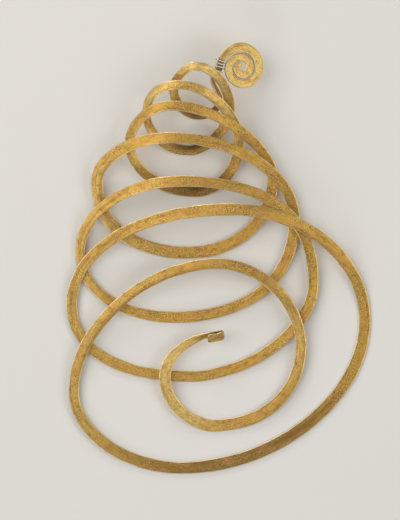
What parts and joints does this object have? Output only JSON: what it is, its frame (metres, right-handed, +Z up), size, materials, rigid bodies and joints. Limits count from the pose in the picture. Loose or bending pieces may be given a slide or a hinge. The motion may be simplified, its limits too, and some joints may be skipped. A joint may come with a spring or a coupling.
{
  "type": "brass necklace",
  "caption": "Lying neck ornament: one flat hammered band in seven leaning, widening turns, from a small scroll with a wire-bound neck to a folded hook.",
  "frame": {"origin": "middle of the footprint, on the surface it lies on", "axes": "+Z up from the surface, +Y along the coil from the big last turns to the scroll, +X to the side that the scroll is on"},
  "size_m": [0.2436, 0.3438, 0.0407],
  "materials": {
    "hammered_brass": "satin hammered brass, lengthwise streaks, small dark pits and brown patina",
    "silvery_wire": "dull silvery drawn wire"
  },
  "bodies": {
    "root": {"coiled_band": "hammered_brass", "binding_wire": "silvery_wire"}
  },
  "joints": []
}
